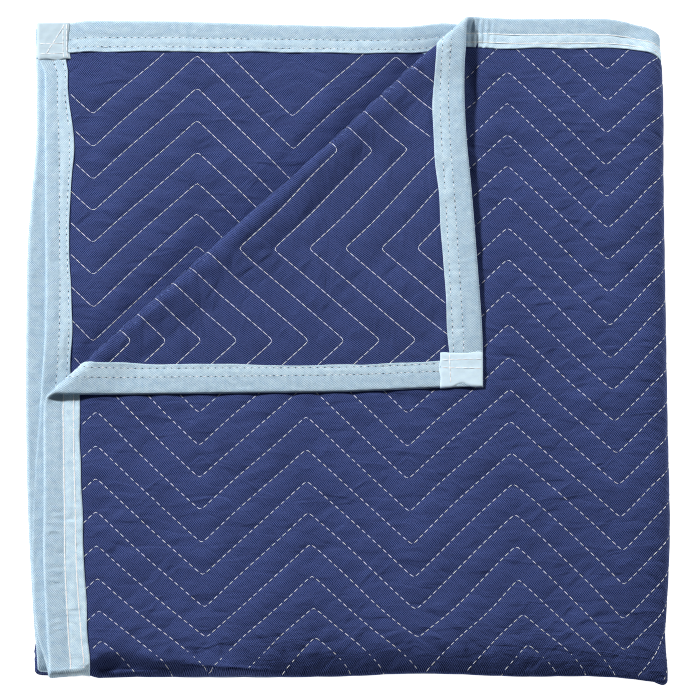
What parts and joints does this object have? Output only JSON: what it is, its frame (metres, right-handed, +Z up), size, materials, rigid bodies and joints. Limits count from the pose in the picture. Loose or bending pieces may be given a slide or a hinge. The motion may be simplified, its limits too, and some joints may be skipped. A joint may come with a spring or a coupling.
{
  "type": "moving blanket, folded",
  "caption": "Quilted cloth moving blanket with zigzag stitching and bound edges, folded into a flat square stack, with the top corner turned over.",
  "frame": {"origin": "middle of the folded stack's footprint, on the surface that it rests on", "axes": "+X to the right along the folded length, +Y from the front folds to the back edges, +Z up"},
  "size_m": [0.471, 0.5226, 0.038],
  "materials": {
    "quilted_cloth": "matt non-woven navy cloth, quilted over batting",
    "binding_tape": "matt woven light blue tape"
  },
  "bodies": {
    "root": {"quilted_panel": "quilted_cloth", "binding_top_end": "binding_tape", "binding_inner_end": "binding_tape", "binding_upper_side": "binding_tape", "binding_under_side": "binding_tape"}
  },
  "joints": []
}
